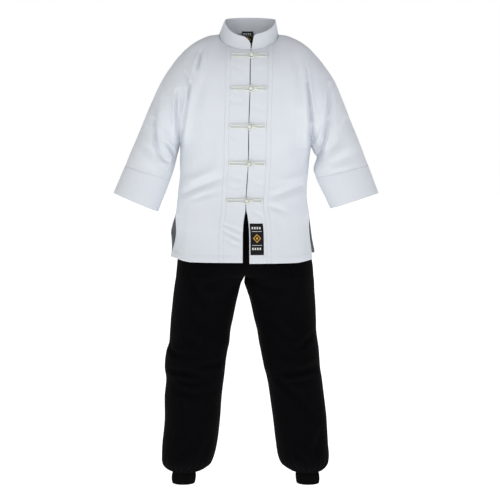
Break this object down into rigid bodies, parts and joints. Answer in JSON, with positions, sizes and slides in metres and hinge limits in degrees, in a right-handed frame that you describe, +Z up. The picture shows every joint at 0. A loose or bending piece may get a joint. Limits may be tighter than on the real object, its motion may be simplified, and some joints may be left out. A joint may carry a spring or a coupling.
{
  "type": "tai chi uniform",
  "caption": "White mandarin-collar jacket with frog closures and turned cuffs over black elastic-cuffed trousers, filled out and hollow.",
  "frame": {"origin": "middle of the neck, level with the points where the shoulder seams meet the collar; the wearer holds the garment up here", "axes": "+X towards the wearer's left, +Y towards the wearer's back, +Z up"},
  "size_m": [0.785, 0.2687, 1.4048],
  "materials": {
    "white_drill": "matt cotton and polyester drill",
    "black_cotton": "matt cotton and polyester drill",
    "black_elastic": "matt gathered elastic",
    "woven_label": "satin-woven polyester",
    "ecru_cord": "satin bias cord"
  },
  "bodies": {
    "root": {"jacket_back": "white_drill", "jacket_front_right": "white_drill", "jacket_front_left": "white_drill", "placket_right": "white_drill", "placket_left": "white_drill", "sleeve_right": "white_drill", "sleeve_left": "white_drill", "cuff_right": "white_drill", "cuff_left": "white_drill", "collar": "white_drill", "trouser_front_right": "black_cotton", "trouser_back_right": "black_cotton", "trouser_front_left": "black_cotton", "trouser_back_left": "black_cotton", "waistband": "black_cotton", "ankle_cuff_right": "black_elastic", "ankle_cuff_left": "black_elastic", "hem_patch": "woven_label", "neck_label": "woven_label", "frog_1_loop": "ecru_cord", "frog_1_knot": "ecru_cord", "frog_1_ball": "ecru_cord", "frog_2_loop": "ecru_cord", "frog_2_knot": "ecru_cord", "frog_2_ball": "ecru_cord", "frog_3_loop": "ecru_cord", "frog_3_knot": "ecru_cord", "frog_3_ball": "ecru_cord", "frog_4_loop": "ecru_cord", "frog_4_knot": "ecru_cord", "frog_4_ball": "ecru_cord", "frog_5_loop": "ecru_cord", "frog_5_knot": "ecru_cord", "frog_5_ball": "ecru_cord"}
  },
  "joints": []
}
